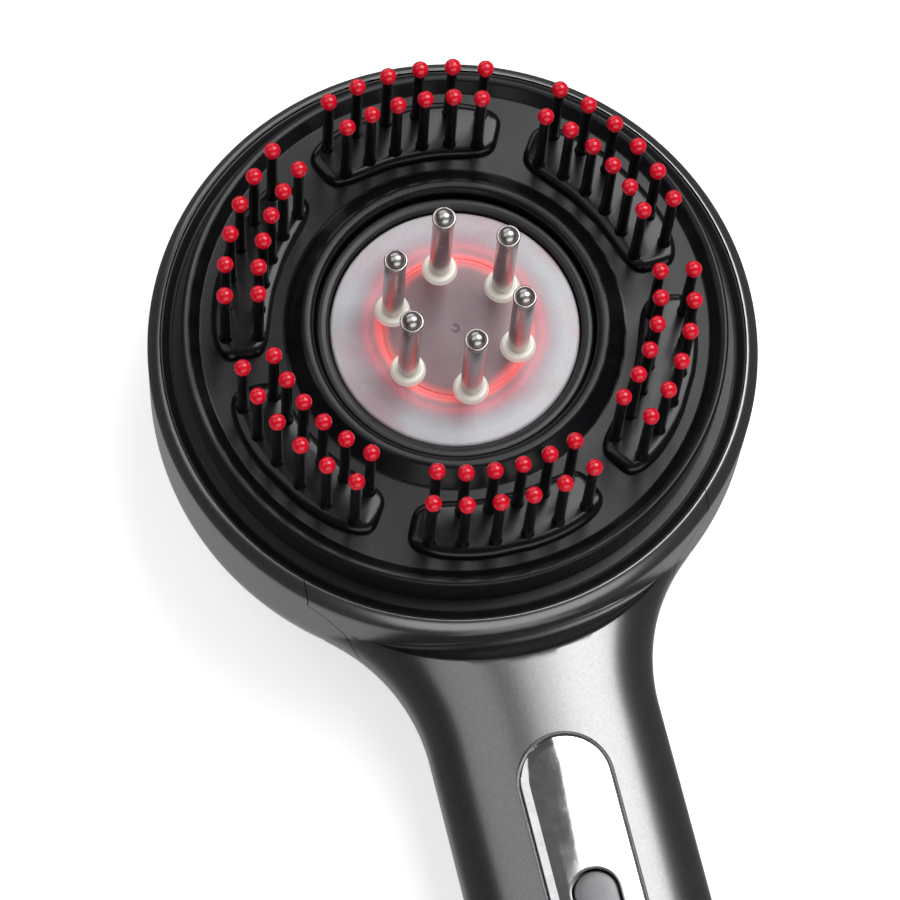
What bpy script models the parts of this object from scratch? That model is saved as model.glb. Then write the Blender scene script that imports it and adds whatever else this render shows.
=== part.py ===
"""Scalp massager brush, modelled as the separate pieces that it is assembled from.

Frame: the brush lies on its back. The origin is the centre of the head's flat back, +Z points
out of the bristle face, and the handle runs along -Y. Lengths are in millimetres until MM turns
them into Blender's metres.
"""
import math

import bmesh
import bpy
from mathutils import Matrix, Vector

MM = 0.001
GAP = 0.3

# Head drum
HEAD_R = 44.4
WALL = 2.2
RIM_Z = 29.5
BACK_ROUND = 14.0
FACE_Z = 34.0
HEAD_STEPS = 36
INNER_STEPS = 30

# Handle
HANDLE_HALF_WIDTH = 17.1
HANDLE_TOP_Z = 25.0
HANDLE_END_Y = -166.0
END_ROUND = 17.0
NECK_FILLET = 28.0
NECK_LIFT = 2.5
SECTION_POWER = 2.5
PARTING_Z = 13.5
COVER_FLOOR_HALF_WIDTH = 23.3
COVER_SIDE = ((25.2, 19.4), (27.3, 23.0), (29.6, 25.0), (29.6, 60.0))
VALLEY_RING_R = 46.2
VALLEY_R = 1.7
CREST_R = 31.1
CREST_Y = -16.3

# Silicone face
MEMBRANE_Z = 34.0
MEMBRANE_THICKNESS = 1.2
MEMBRANE_FOOT_Z = 29.1
INNER_RIB_Z = 36.5
OUTER_RIB_Z = 35.6
INNER_EDGE_R = 20.4
OUTER_EDGE_R = 39.4
BEZEL_R = 42.5
BEZEL_SEAT_Z = 26.6

# Pads and bristles
PAD_COUNT = 6
PAD_STEP = math.radians(360 / PAD_COUNT)
FIRST_AZIMUTH = math.radians(-90)
PAD_MID_R = 30.75
PAD_HALF_DEPTH = 4.45
PAD_HALF_ANGLE = math.radians(26)
PAD_TOP_Z = 35.5
BRISTLE_ROWS_R = (28.3, 33.0)
BRISTLES_PER_ROW = 6
BRISTLE_PITCH = math.radians(8.15)
BRISTLE_TIP_Z = 51.9
BRISTLE_TIP_R = 1.25
STEM_HALF_DEPTH = 1.35
STEM_HALF_ANGLE = math.radians(10)
STEM_BOTTOM_Z = 27.5

# Pad drive: a scroll ring whose spiral slots push the pads in and out
PAD_TRAVEL = 1.25
RING_SWING = math.radians(12)
SPIRAL_RISE = PAD_TRAVEL / RING_SWING
FOLLOWER_MID_R = 30.0
FOLLOWER_R = 1.5
RING_INNER_R = 25.1
RING_OUTER_R = 36.0
RING_Z = (15.0, 19.0)
CHASSIS_Z = (12.9, 14.7)
GUIDE_Z = (20.6, 22.8)
CARRIER_Z = (23.1, 27.2)
RING_TEETH = 48
PINION_TEETH = 8
GEAR_MODULE = 1.0
PINION_Y = (RING_TEETH - PINION_TEETH) * GEAR_MODULE / 2
MESHING_TEETH = 8

# Oil cartridge
DISC_R = 18.0
DISC_THICKNESS = 2.0
PIN_CIRCLE_R = 9.4
PIN_R = 1.55
PIN_BALL_Z = 53.3
PIN_BALL_R = 1.3
COLLAR_R = 2.45
RESERVOIR_R = 11.0
RESERVOIR_BOTTOM_Z = 16.2

# Controls and power
INLAY_HALF_WIDTH = 6.5
INLAY_Y = (-110.0, -60.0)
INLAY_Z = (24.2, 25.2)
BUTTON_Y = -85.4
BUTTON_HALF_WIDTH = 3.1
BUTTON_STRAIGHT = 4.0
BATTERY_R = 7.0
BATTERY_Y = (-145.5, -96.0)
BATTERY_Z = 11.0
BOARD_Y = (-94.0, -63.0)
PORT_Z = 9.5
PLUG_Y = (-166.2, -164.9)
SCREW_PLACES = {
    "screw_head_left": (-20.8, -12.0),
    "screw_head_right": (20.8, -12.0),
    "screw_neck": (0.0, -57.5),
    "screw_tail": (0.0, -150.0),
}
SCREW_LIFT = {"screw_head_left": 0.0, "screw_head_right": 0.0, "screw_neck": 2.5, "screw_tail": 0.2}
SCREW_LENGTH = 11.4
SCREW_SINK = 0.6

MATERIALS = {
    "gunmetal": ((0.13, 0.13, 0.14), 0.32, 0.75),
    "black_silicone": ((0.02, 0.02, 0.022), 0.45, 0.0),
    "black_plastic": ((0.03, 0.03, 0.032), 0.5, 0.0),
    "grey_plastic": ((0.2, 0.2, 0.21), 0.4, 0.0),
    "frosted_white": ((0.78, 0.74, 0.75), 0.4, 0.0),
    "red_clear": ((0.8, 0.02, 0.05), 0.2, 0.0),
    "clear_plastic": ((0.8, 0.8, 0.8), 0.15, 0.0),
    "polished_steel": ((0.7, 0.7, 0.72), 0.12, 1.0),
    "chrome": ((0.85, 0.85, 0.87), 0.04, 1.0),
    "acetal": ((0.75, 0.74, 0.7), 0.45, 0.0),
    "circuit_green": ((0.02, 0.16, 0.06), 0.5, 0.0),
    "cell_wrap": ((0.05, 0.15, 0.5), 0.35, 0.0),
}


def clear_scene():
    for obj in list(bpy.data.objects):
        bpy.data.objects.remove(obj, do_unlink=True)


def make_collection(name):
    group = bpy.data.collections.new(name)
    bpy.context.scene.collection.children.link(group)
    return group


def make_material(name):
    colour, roughness, metallic = MATERIALS[name]
    material = bpy.data.materials.new(name)
    material.use_nodes = True
    shader = material.node_tree.nodes["Principled BSDF"]
    shader.inputs["Base Color"].default_value = (*colour, 1.0)
    shader.inputs["Roughness"].default_value = roughness
    shader.inputs["Metallic"].default_value = metallic
    return material


def place_object(name, data, location=(0.0, 0.0, 0.0), turn=0.0):
    """Link a new object among the cutters, where it stays unless it becomes a part."""
    obj = bpy.data.objects.new(name, data)
    obj.location = Vector(location) * MM
    obj.rotation_euler.z = turn
    obj.hide_render = True
    obj.display_type = "WIRE"
    CUTTERS.objects.link(obj)
    return obj


def as_part(obj, material_name):
    """Move an object among the parts and give it its material."""
    CUTTERS.objects.unlink(obj)
    PARTS.objects.link(obj)
    obj.hide_render = False
    obj.display_type = "TEXTURED"
    obj.data.materials.clear()
    obj.data.materials.append(SURFACES[material_name])
    return obj


def solid_from(name, bm, location=(0.0, 0.0, 0.0)):
    mesh = bpy.data.meshes.new(name)
    bm.to_mesh(mesh)
    bm.free()
    return place_object(name, mesh, location)


def settle(obj):
    """Replace an object by the welded mesh that its modifiers make."""
    bpy.context.view_layer.update()
    graph = bpy.context.evaluated_depsgraph_get()
    mesh = bpy.data.meshes.new_from_object(obj.evaluated_get(graph))
    bm = bmesh.new()
    bm.from_mesh(mesh)
    bmesh.ops.remove_doubles(bm, verts=bm.verts, dist=0.000002)
    bmesh.ops.recalc_face_normals(bm, faces=bm.faces)
    bm.to_mesh(mesh)
    bm.free()
    name = obj.name
    world = obj.matrix_world.copy()
    bpy.data.objects.remove(obj, do_unlink=True)
    settled = place_object(name, mesh)
    settled.matrix_world = world
    return settled


def shared_mesh(obj):
    """The settled mesh of an object, in the frame of the head's axis, for several objects to use."""
    settled = settle(obj)
    shade(settled)
    mesh = settled.data
    mesh.transform(settled.matrix_world)
    bpy.data.objects.remove(settled, do_unlink=True)
    return mesh


def turned(name, profile, steps, centre=(0.0, 0.0)):
    """Turn (radius, height) points about a vertical line; the outer side runs top to bottom."""
    bm = bmesh.new()
    points = [bm.verts.new((r * MM, 0.0, z * MM)) for r, z in profile]
    for start, end in zip(points, points[1:]):
        bm.edges.new((start, end))
    if profile[0][0] > 0:
        bm.edges.new((points[-1], points[0]))
    obj = solid_from(name, bm, (*centre, 0.0))
    screw = obj.modifiers.new("turn", "SCREW")
    screw.angle = math.tau
    screw.steps = steps
    screw.render_steps = steps
    screw.use_merge_vertices = True
    screw.merge_threshold = 0.00001
    return obj


def box(name, x, y, z):
    """A box between the given pairs of limits."""
    bm = bmesh.new()
    bmesh.ops.create_cube(bm, size=1.0)
    spans = [(high - low) * MM for low, high in (x, y, z)]
    bmesh.ops.scale(bm, vec=spans, verts=bm.verts)
    middle = [(low + high) / 2 for low, high in (x, y, z)]
    return solid_from(name, bm, middle)


def cylinder(name, radius, z, steps, centre=(0.0, 0.0)):
    return turned(name, [(0, z[1]), (radius, z[1]), (radius, z[0]), (0, z[0])], steps, centre)


def ring(name, radii, z, steps):
    inner, outer = radii
    return turned(name, [(outer, z[1]), (outer, z[0]), (inner, z[0]), (inner, z[1])], steps)


def plate(name, outlines, z):
    """A flat plate: the first outline is its edge and the others are holes through it."""
    curve = bpy.data.curves.new(name, "CURVE")
    curve.dimensions = "2D"
    curve.fill_mode = "BOTH"
    curve.extrude = (z[1] - z[0]) * MM / 2
    for outline in outlines:
        spline = curve.splines.new("POLY")
        spline.points.add(len(outline) - 1)
        spline.use_cyclic_u = True
        for point, (x, y) in zip(spline.points, outline):
            point.co = (x * MM, y * MM, 0.0, 1.0)
    return settle(place_object(name, curve, (0.0, 0.0, (z[0] + z[1]) / 2)))


def circle(radius, steps, centre=(0.0, 0.0)):
    angles = [math.tau * step / steps for step in range(steps)]
    return [(centre[0] + radius * math.cos(a), centre[1] + radius * math.sin(a)) for a in angles]


def slot(length, width, centre=(0.0, 0.0), end_steps=6):
    """Outline of a straight slot along +X with round ends; length is between end centres."""
    points = []
    for side, start in ((1, -math.pi / 2), (-1, math.pi / 2)):
        for step in range(end_steps + 1):
            angle = start + math.pi * step / end_steps
            x = centre[0] + side * length / 2 + width / 2 * math.cos(angle)
            points.append((x, centre[1] + width / 2 * math.sin(angle)))
    return points


def turn_points(points, angle):
    c, s = math.cos(angle), math.sin(angle)
    return [(x * c - y * s, x * s + y * c) for x, y in points]


def arc_profile(centre, radius, start, end, steps):
    """Points on an arc in the (radius, height) plane, angles in degrees."""
    points = []
    for step in range(steps + 1):
        angle = math.radians(start + (end - start) * step / steps)
        points.append((centre[0] + radius * math.cos(angle), centre[1] + radius * math.sin(angle)))
    return points


def combine(target, other, operation):
    modifier = target.modifiers.new(operation.lower(), "BOOLEAN")
    modifier.operation = operation
    modifier.object = other
    modifier.solver = "EXACT"


def shade(obj, angle=35):
    obj.data.shade_smooth()
    obj.data.set_sharp_from_angle(angle=math.radians(angle))


def bevel(obj, width, segments=2, angle=50):
    modifier = obj.modifiers.new("bevel", "BEVEL")
    modifier.width = width * MM
    modifier.segments = segments
    modifier.limit_method = "ANGLE"
    modifier.angle_limit = math.radians(angle)


# ---------------------------------------------------------------- housings

def neck_half_width(y):
    """Half width of the handle, flared by a fillet where it meets the head."""
    centre_x = HANDLE_HALF_WIDTH + NECK_FILLET
    centre_y = -math.sqrt((HEAD_R + NECK_FILLET) ** 2 - centre_x ** 2)
    tangent_y = centre_y * HEAD_R / (HEAD_R + NECK_FILLET)
    rise = max(0.0, min(y, tangent_y) - centre_y)
    return centre_x - math.sqrt(NECK_FILLET ** 2 - rise ** 2)


def smooth_step(value):
    value = min(1.0, max(0.0, value))
    return value * value * (3 - 2 * value)


def handle_levels(y):
    """Heights of the handle's underside and front at y, before its end is rounded."""
    bottom = NECK_LIFT * (1 - smooth_step((-y - 56) / 74))
    top = HANDLE_TOP_Z - 2.0 * smooth_step((-y - 105) / 60)
    return bottom, top


def handle_section(y, wall, steps):
    """Superellipse section of the handle at y, shrunk by the wall thickness."""
    bottom, top = handle_levels(y)
    past_round = (HANDLE_END_Y + END_ROUND) - y
    end = END_ROUND - wall
    fade = 1.0
    if past_round > 0:
        fade = max(0.0, 1 - (past_round / end) ** 2.4) ** (1 / 2.4)
    half_width = (neck_half_width(y) - wall) * fade
    half_height = ((top - bottom) / 2 - wall) * fade
    points = []
    for step in range(steps):
        angle = math.tau * step / steps
        c, s = math.cos(angle), math.sin(angle)
        x = half_width * math.copysign(abs(c) ** (2 / SECTION_POWER), c)
        z = half_height * math.copysign(abs(s) ** (2 / SECTION_POWER), s)
        points.append((x, y, (top + bottom) / 2 + z))
    return points


def loft(name, sections):
    """Skin a row of sections that have the same number of points, and cap both ends."""
    bm = bmesh.new()
    rows = [[bm.verts.new(Vector(point) * MM) for point in section] for section in sections]
    count = len(rows[0])
    for first, second in zip(rows, rows[1:]):
        for i in range(count):
            j = (i + 1) % count
            bm.faces.new((first[i], first[j], second[j], second[i]))
    bm.faces.new(list(reversed(rows[0])))
    bm.faces.new(rows[-1])
    bmesh.ops.recalc_face_normals(bm, faces=bm.faces)
    return solid_from(name, bm)


def handle_solid():
    round_start = HANDLE_END_Y + END_ROUND
    stations = [-30, -38, -43, -48, -54, -80, -105, -130, round_start]
    stations += [round_start - END_ROUND * part for part in (0.5, 0.8, 0.96)]
    return loft("handle_solid", [handle_section(y, 0, 24) for y in stations])


def handle_cavity():
    round_start = HANDLE_END_Y + END_ROUND
    stations = [-53, -80, -105, -130, round_start]
    stations += [round_start - (END_ROUND - WALL) * part for part in (0.5, 0.9)]
    return loft("handle_cavity", [handle_section(y, WALL, 16) for y in stations])


def drum_profile(radius, floor, rounding, steps):
    """Side, rounded back edge and flat back of the head, down to the axis."""
    corner = (radius - rounding, floor + rounding)
    return arc_profile(corner, rounding, 0, -90, steps) + [(0, floor)]


def valley():
    """Crescent between the head's wall and the crest that starts the handle's front."""
    centre = (VALLEY_RING_R, HANDLE_TOP_Z + 0.2)
    groove = [(VALLEY_RING_R + VALLEY_R, 30), *arc_profile(centre, VALLEY_R, 0, -180, 8)]
    groove.append((VALLEY_RING_R - VALLEY_R, 30))
    crescent = turned("valley", groove, HEAD_STEPS)
    combine(crescent, cylinder("crest", CREST_R, (20, 40), 48, (0.0, CREST_Y)), "INTERSECT")
    return crescent


def housing_shell():
    """Outer skin of the head and the handle together, before it is parted into two covers."""
    rim = [(0, RIM_Z), (42.9, RIM_Z), (43.7, 29.2), (44.2, 28.5), (HEAD_R, 27.3)]
    shell = turned("housing_shell", rim + drum_profile(HEAD_R, 0, BACK_ROUND, 5), HEAD_STEPS)
    combine(shell, handle_solid(), "UNION")
    combine(shell, valley(), "DIFFERENCE")
    inside = [(0, FACE_Z), (BEZEL_R + GAP, FACE_Z), (BEZEL_R + GAP, BEZEL_SEAT_Z)]
    inside.append((HEAD_R - WALL, BEZEL_SEAT_Z))
    inside += drum_profile(HEAD_R - WALL, WALL, BACK_ROUND - WALL, 3)
    combine(shell, turned("head_cavity", inside, HEAD_STEPS), "DIFFERENCE")
    combine(shell, handle_cavity(), "DIFFERENCE")
    passage = box("wire_passage", (-9, 9), (-56, -36), (6, 18))
    combine(shell, passage, "DIFFERENCE")
    for name in ("screw_neck", "screw_tail"):
        x, y = SCREW_PLACES[name]
        bottom, top = handle_levels(y)
        column = cylinder(name + "_column", 3.2, (bottom + 1.2, top - 1.2), 10, (x, y))
        combine(shell, column, "UNION")
    return settle(shell)


def cover_region(name, margin):
    """The space that the handle's front cover fills; margin grows it on the parting faces."""
    right = [(COVER_FLOOR_HALF_WIDTH + margin, PARTING_Z - margin)]
    right += [(x + margin, z - margin) for x, z in COVER_SIDE]
    left = [(-x, z) for x, z in reversed(right)]
    region = plate(name, [right + left], (-190, -26))
    region.rotation_euler.x = math.pi / 2
    region.location = (0.0, -108 * MM, 0.0)
    return region


def screw_hole(name):
    """Cutter for a screw's clearance hole and for the recess that its head sits in."""
    seat = SCREW_LIFT[name] + 2.6
    top = SCREW_LIFT[name] + SCREW_SINK + SCREW_LENGTH + 2.0
    profile = [(0, top), (1.6, top), (1.6, seat), (2.8, seat), (2.8, -1), (0, -1)]
    return turned(name + "_hole", profile, 10, SCREW_PLACES[name])


def rear_housing(shell):
    rear = place_object("rear_housing", shell.data.copy())
    combine(rear, cover_region("cover_region_wide", GAP / 2), "DIFFERENCE")
    for name in ("screw_head_left", "screw_head_right"):
        boss = cylinder(name + "_boss", 3.2, (1.0, CHASSIS_Z[0] - GAP), 10, SCREW_PLACES[name])
        combine(rear, boss, "UNION")
    for name in SCREW_PLACES:
        combine(rear, screw_hole(name), "DIFFERENCE")
    opening = box("port_opening", (-5.0, 5.0), (-170, -160), (PORT_Z - 2.1, PORT_Z + 2.1))
    combine(rear, opening, "DIFFERENCE")
    pocket = box("plug_pocket", (-6.5, 6.5), (-170, PLUG_Y[1] + GAP), (PORT_Z - 3.4, PORT_Z + 3.4))
    combine(rear, pocket, "DIFFERENCE")
    shade(rear)
    as_part(rear, "gunmetal")


def front_housing(shell):
    front = place_object("front_housing", shell.data.copy())
    combine(front, cover_region("cover_region_tight", -GAP / 2), "INTERSECT")
    for name in ("screw_neck", "screw_tail"):
        combine(front, screw_hole(name), "DIFFERENCE")
    pocket = plate("inlay_pocket", [inlay_outline(GAP)], (INLAY_Z[0] - GAP, 30))
    combine(front, pocket, "DIFFERENCE")
    hole = plate("button_hole", [button_outline(BUTTON_HALF_WIDTH + GAP)], (18, 30))
    combine(front, hole, "DIFFERENCE")
    shade(front)
    as_part(front, "gunmetal")


# ---------------------------------------------------------------- face of the head

def face_bezel():
    top = MEMBRANE_FOOT_Z - GAP
    flange = BEZEL_SEAT_Z + GAP
    profile = [
        (37.4, top), (40.8, top - 0.2), (BEZEL_R, top + 0.5), (BEZEL_R, flange), (41.8, flange),
        (41.8, 23.1), (40.3, 23.1), (37.4, 27.0),
    ]
    obj = turned("face_bezel", profile, HEAD_STEPS)
    shade(obj)
    as_part(obj, "black_plastic")


def pad_window(index):
    """Cutter for the opening that a pad's stem slides in."""
    depth = STEM_HALF_DEPTH + PAD_TRAVEL + 1.5 * GAP
    outline = kidney(PAD_MID_R, depth, STEM_HALF_ANGLE + math.radians(2.5), 16)
    window = plate(f"pad_window_{index}", [outline], (MEMBRANE_Z - 3, MEMBRANE_Z + 3))
    window.rotation_euler.z = FIRST_AZIMUTH + PAD_STEP * index
    return window


def face_membrane():
    """Silicone cap with a raised rib around each edge and a skirt down to the bezel."""
    underside = MEMBRANE_Z - MEMBRANE_THICKNESS
    profile = [
        (36.9, MEMBRANE_Z), (37.9, OUTER_RIB_Z - 0.6), (38.7, OUTER_RIB_Z),
        (39.2, OUTER_RIB_Z - 0.3), (OUTER_EDGE_R, OUTER_RIB_Z - 0.9),
        (OUTER_EDGE_R, MEMBRANE_FOOT_Z), (38.1, MEMBRANE_FOOT_Z), (38.1, underside),
        (INNER_EDGE_R, underside), (INNER_EDGE_R, INNER_RIB_Z - 0.9), (20.8, INNER_RIB_Z - 0.2),
        (21.6, INNER_RIB_Z), (22.4, INNER_RIB_Z - 0.5), (23.8, MEMBRANE_Z + 0.6),
        (25.0, MEMBRANE_Z),
    ]
    obj = turned("face_membrane", profile, HEAD_STEPS)
    for index in range(PAD_COUNT):
        combine(obj, pad_window(index), "DIFFERENCE")
    obj = settle(obj)
    shade(obj)
    as_part(obj, "black_silicone")


def cartridge_socket():
    """Dark ring around the disc, with the ledge that its seal rests on."""
    profile = [
        (18.3, 34.3), (18.7, 34.6), (19.7, 34.7), (20.1, 34.3), (20.1, 23.1), (18.3, 23.1),
        (18.3, 28.6),
        (15.6, 28.6), (15.6, 29.9), (18.3, 29.9),
    ]
    obj = turned("cartridge_socket", profile, INNER_STEPS)
    shade(obj)
    as_part(obj, "black_plastic")


# ---------------------------------------------------------------- pads

def kidney(mid_radius, half_depth, half_angle, count, power=4.0):
    """Outline of a rounded block bent around the head's axis, centred on +X."""
    points = []
    for step in range(count):
        angle = math.tau * (step + 0.5) / count
        c, s = math.cos(angle), math.sin(angle)
        radius = mid_radius + half_depth * math.copysign(abs(c) ** (2 / power), c)
        swing = half_angle * math.copysign(abs(s) ** (2 / power), s)
        points.append((radius * math.cos(swing), radius * math.sin(swing)))
    return points


def bristle_group():
    """Twelve bristles in two arcs, each a tapered shaft with a ball tip."""
    top = BRISTLE_TIP_Z
    profile = [(0, top + BRISTLE_TIP_R), (0.75, top + 1.0), (BRISTLE_TIP_R, top + 0.3),
               (BRISTLE_TIP_R, top - 0.4), (0.78, top - 1.2), (0.88, PAD_TOP_Z - 0.8),
               (0, PAD_TOP_Z - 0.8)]
    bm = bmesh.new()
    shaft = settle(turned("bristle", profile, 6))
    for radius in BRISTLE_ROWS_R:
        for step in range(BRISTLES_PER_ROW):
            angle = BRISTLE_PITCH * (step - (BRISTLES_PER_ROW - 1) / 2)
            first = len(bm.verts)
            bm.from_mesh(shaft.data)
            bm.verts.ensure_lookup_table()
            shift = Vector((radius * math.cos(angle), radius * math.sin(angle), 0)) * MM
            bmesh.ops.translate(bm, vec=shift, verts=bm.verts[first:])
    bpy.data.objects.remove(shaft, do_unlink=True)
    return solid_from("bristle_group", bm)


def pad_mesh():
    outline = kidney(PAD_MID_R, PAD_HALF_DEPTH, PAD_HALF_ANGLE, 22)
    mound = plate("pad_mound", [outline], (MEMBRANE_Z + GAP, PAD_TOP_Z))
    bevel(mound, 0.9, 1)
    stem_outline = kidney(PAD_MID_R, STEM_HALF_DEPTH, STEM_HALF_ANGLE, 12)
    stem = plate("pad_stem", [stem_outline], (STEM_BOTTOM_Z, PAD_TOP_Z - 1.0))
    combine(mound, stem, "UNION")
    combine(mound, bristle_group(), "UNION")
    return shared_mesh(mound)


def carrier_mesh():
    outline = kidney(PAD_MID_R, 3.1, math.radians(11), 12)
    block = plate("carrier_block", [outline], CARRIER_Z)
    pin = cylinder("carrier_pin", FOLLOWER_R, (RING_Z[0] + 0.6, CARRIER_Z[0] + 1), 8,
                   (FOLLOWER_MID_R, 0.0))
    combine(block, pin, "UNION")
    return shared_mesh(block)


def pads():
    pad, carrier = pad_mesh(), carrier_mesh()
    for index in range(PAD_COUNT):
        turn = FIRST_AZIMUTH + PAD_STEP * index
        as_part(place_object(f"pad_{index + 1}", pad, turn=turn), "black_silicone")
        as_part(place_object(f"pad_carrier_{index + 1}", carrier, turn=turn), "acetal")


# ---------------------------------------------------------------- pad drive

def spiral_slot(index):
    """Outline of one slot: its centre line's radius falls steadily with azimuth."""
    half_width = FOLLOWER_R + GAP
    reach = RING_SWING + math.radians(0.8)
    azimuth = FIRST_AZIMUTH + PAD_STEP * index
    steps = 3

    def line_point(swing, offset):
        radius = FOLLOWER_MID_R - SPIRAL_RISE * swing + offset
        return radius, azimuth + swing

    points = [line_point(reach * (2 * i / steps - 1), half_width) for i in range(steps + 1)]
    outer_end, inner_end = line_point(reach, 0), line_point(-reach, 0)
    cap = [(outer_end, math.radians(a)) for a in (45, 0, -45)]
    outline = [(r * math.cos(a), r * math.sin(a)) for r, a in points]
    outline += [round_end(*end, half_width, lean) for end, lean in cap]
    points = [line_point(reach * (1 - 2 * i / steps), -half_width) for i in range(steps + 1)]
    outline += [(r * math.cos(a), r * math.sin(a)) for r, a in points]
    cap = [(inner_end, math.radians(a)) for a in (225, 180, 135)]
    outline += [round_end(*end, half_width, lean) for end, lean in cap]
    return outline


def round_end(radius, azimuth, half_width, lean):
    """A point on the round end of a slot; lean is measured from the slot's direction."""
    x = radius * math.cos(azimuth) + half_width * math.cos(azimuth + math.pi / 2 - lean)
    y = radius * math.sin(azimuth) + half_width * math.sin(azimuth + math.pi / 2 - lean)
    return x, y


def toothed_bore():
    """Inner outline of the scroll ring, with teeth pointing in where the pinion meshes."""
    tip, root = RING_INNER_R - 2.0, RING_INNER_R
    pitch = math.tau / RING_TEETH
    middle = math.pi / 2
    points = []
    for tooth in range(MESHING_TEETH):
        centre = middle + pitch * (tooth - (MESHING_TEETH - 1) / 2)
        for radius, lean in ((root, -1.75), (tip, -0.8), (tip, 0.8), (root, 1.75)):
            angle = centre + math.radians(lean)
            points.append((radius * math.cos(angle), radius * math.sin(angle)))
    start = middle + pitch * MESHING_TEETH / 2
    plain = math.tau - pitch * MESHING_TEETH
    for step in range(21):
        angle = start + plain * step / 20
        points.append((root * math.cos(angle), root * math.sin(angle)))
    return points


def scroll_ring():
    outlines = [circle(RING_OUTER_R, 36), toothed_bore()]
    outlines += [spiral_slot(index) for index in range(PAD_COUNT)]
    obj = plate("scroll_ring", outlines, RING_Z)
    shade(obj)
    as_part(obj, "acetal")


def drive_pinion():
    tip, root = 4.8, 2.95
    points = []
    for tooth in range(PINION_TEETH):
        centre = math.pi / 2 + math.tau * tooth / PINION_TEETH
        for radius, lean in ((root, -14), (tip, -6), (tip, 6), (root, 14)):
            angle = centre + math.radians(lean)
            points.append((radius * math.cos(angle), radius * math.sin(angle)))
    obj = plate("drive_pinion", [points, circle(1.3, 10)], (RING_Z[0] + 0.2, RING_Z[1]))
    obj.location.y = PINION_Y * MM
    as_part(obj, "acetal")


def gear_motor():
    top = CHASSIS_Z[0] - GAP
    profile = [(0, RING_Z[1] + 0.2), (1.0, RING_Z[1] + 0.2), (1.0, top + 1.2), (2.6, top + 1.2),
               (2.6, top), (9.8, top), (10.0, top - 0.3), (10.0, 2.7), (0, 2.7)]
    obj = turned("gear_motor", profile, 20, (0.0, PINION_Y))
    shade(obj)
    as_part(obj, "polished_steel")


def chassis():
    """Floor of the drive, with the low wall that the scroll ring turns inside."""
    low, high = CHASSIS_Z
    profile = [(38.2, high + 3.0), (38.2, high), (41.5, high), (41.5, low), (0, low)]
    profile = [(0, high), (RING_OUTER_R + 0.4, high), (RING_OUTER_R + 0.4, high + 3.0)] + profile
    obj = turned("chassis", profile, INNER_STEPS)
    hole = cylinder("shaft_hole", 3.2, (low - 1, high + 1), 12, (0.0, PINION_Y))
    combine(obj, hole, "DIFFERENCE")
    for name in ("screw_head_left", "screw_head_right"):
        pilot = cylinder(name + "_pilot", 1.6, (low - 1, high + 1), 8, SCREW_PLACES[name])
        combine(obj, pilot, "DIFFERENCE")
    obj = settle(obj)
    shade(obj)
    as_part(obj, "black_plastic")


def guide_plate():
    """Fixed plate whose radial slots let the carriers move only in and out."""
    outlines = [circle(41.6, INNER_STEPS), circle(RESERVOIR_R + 0.6, 24)]
    width = 2 * (FOLLOWER_R + GAP)
    for index in range(PAD_COUNT):
        straight = slot(2 * PAD_TRAVEL + 0.2, width, (FOLLOWER_MID_R, 0.0), 4)
        outlines.append(turn_points(straight, FIRST_AZIMUTH + PAD_STEP * index))
    obj = plate("guide_plate", outlines, GUIDE_Z)
    shade(obj)
    as_part(obj, "grey_plastic")


# ---------------------------------------------------------------- oil cartridge

def pin_places():
    angles = [FIRST_AZIMUTH + PAD_STEP * index for index in range(PAD_COUNT)]
    return [(PIN_CIRCLE_R * math.cos(a), PIN_CIRCLE_R * math.sin(a)) for a in angles]


def applicator_disc():
    profile = [(0, FACE_Z - 0.5), (1.6, FACE_Z), (17.3, FACE_Z), (DISC_R, FACE_Z - 0.7),
               (DISC_R, FACE_Z - DISC_THICKNESS), (0, FACE_Z - DISC_THICKNESS)]
    obj = turned("applicator_disc", profile, INNER_STEPS)
    for index, place in enumerate(pin_places()):
        collar = [(0, 34.8), (2.0, 34.8), (COLLAR_R, 34.3), (COLLAR_R, 33.4), (0, 33.4)]
        combine(obj, turned(f"collar_{index}", collar, 10, place), "UNION")
        combine(obj, cylinder(f"pin_hole_{index}", 0.9, (31, 36), 6, place), "DIFFERENCE")
    obj = settle(obj)
    shade(obj)
    as_part(obj, "frosted_white")


def pins():
    ball_z, tube_top = PIN_BALL_Z, PIN_BALL_Z - 0.3
    bore, lip = 1.45, 1.72
    profile = [(0, ball_z - 2.4), (bore, ball_z - 2.4), (bore, tube_top), (lip, tube_top),
               (lip, tube_top - 0.7), (PIN_R, tube_top - 1.1), (PIN_R, 35.1), (0.55, 35.1),
               (0.55, 31.2), (0, 31.2)]
    tube = settle(turned("tube", profile, 8))
    shade(tube, 60)
    for index, (x, y) in enumerate(pin_places()):
        piece = place_object(f"pin_tube_{index + 1}", tube.data, (x, y, 0))
        as_part(piece, "polished_steel")
        bm = bmesh.new()
        bmesh.ops.create_uvsphere(bm, u_segments=8, v_segments=6, radius=PIN_BALL_R * MM)
        ball = solid_from(f"pin_ball_{index + 1}", bm, (x, y, ball_z))
        ball.data.shade_smooth()
        as_part(ball, "chrome")
    bpy.data.objects.remove(tube, do_unlink=True)


def cartridge_bodies():
    cup = [(0, RESERVOIR_BOTTOM_Z + 1.0), (10.2, RESERVOIR_BOTTOM_Z + 1.0), (10.2, 31.7),
           (RESERVOIR_R, 31.7), (RESERVOIR_R, RESERVOIR_BOTTOM_Z), (0, RESERVOIR_BOTTOM_Z)]
    reservoir = turned("oil_reservoir", cup, 24)
    shade(reservoir)
    as_part(reservoir, "clear_plastic")
    section = arc_profile((16.9, 31.0), 0.7, 360, 60, 5)
    seal = turned("cartridge_seal", section, 24)
    shade(seal, 60)
    as_part(seal, "black_silicone")


# ---------------------------------------------------------------- light

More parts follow.
